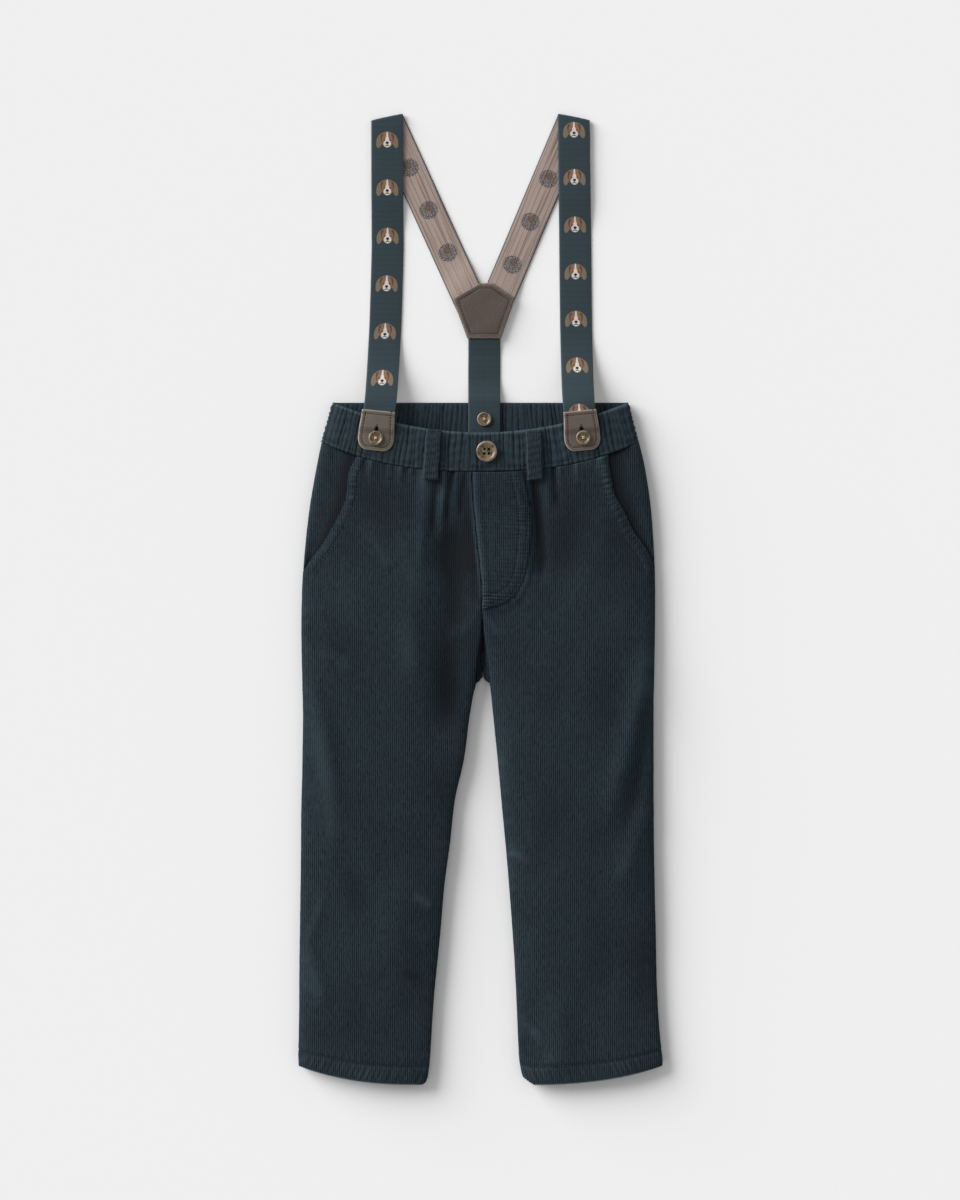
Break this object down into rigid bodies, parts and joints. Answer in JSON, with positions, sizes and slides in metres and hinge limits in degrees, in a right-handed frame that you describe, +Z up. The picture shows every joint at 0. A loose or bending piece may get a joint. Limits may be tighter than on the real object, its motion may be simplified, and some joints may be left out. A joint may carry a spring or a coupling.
{
  "type": "suspender pants",
  "caption": "Child's corduroy trousers laid flat, with a gathered elastic waist, elastic straps on leather tabs and a leather yoke, buttons and slanted pockets.",
  "frame": {"origin": "centre of the laid-out garment's box, on the surface that it lies on", "axes": "+X to the viewer's right across the front, +Y from the hems towards the tops of the straps, +Z up out of the front"},
  "size_m": [0.2846, 0.7587, 0.0206],
  "materials": {
    "corduroy": "fine-wale cotton corduroy, matt with a soft nap",
    "elastic": "woven elastic webbing, matt, patterned face and ribbed reverse",
    "leather": "brown-grey leather with a light cut edge, satin",
    "horn": "mottled horn resin, satin"
  },
  "bodies": {
    "root": {"front_left": "corduroy", "front_right": "corduroy", "back_left": "corduroy", "back_right": "corduroy", "pocket_facing_left": "corduroy", "pocket_facing_right": "corduroy", "fly": "corduroy", "waistband_front": "corduroy", "waistband_back": "corduroy", "belt_loop_left": "corduroy", "belt_loop_right": "corduroy", "strap_left": "elastic", "strap_right": "elastic", "strap_back": "elastic", "tab_left": "leather", "tab_right": "leather", "yoke_patch_inner": "leather", "yoke_patch_outer": "leather", "front_button": "horn", "tab_button_left": "horn", "tab_button_right": "horn", "back_strap_button": "horn"}
  },
  "joints": []
}
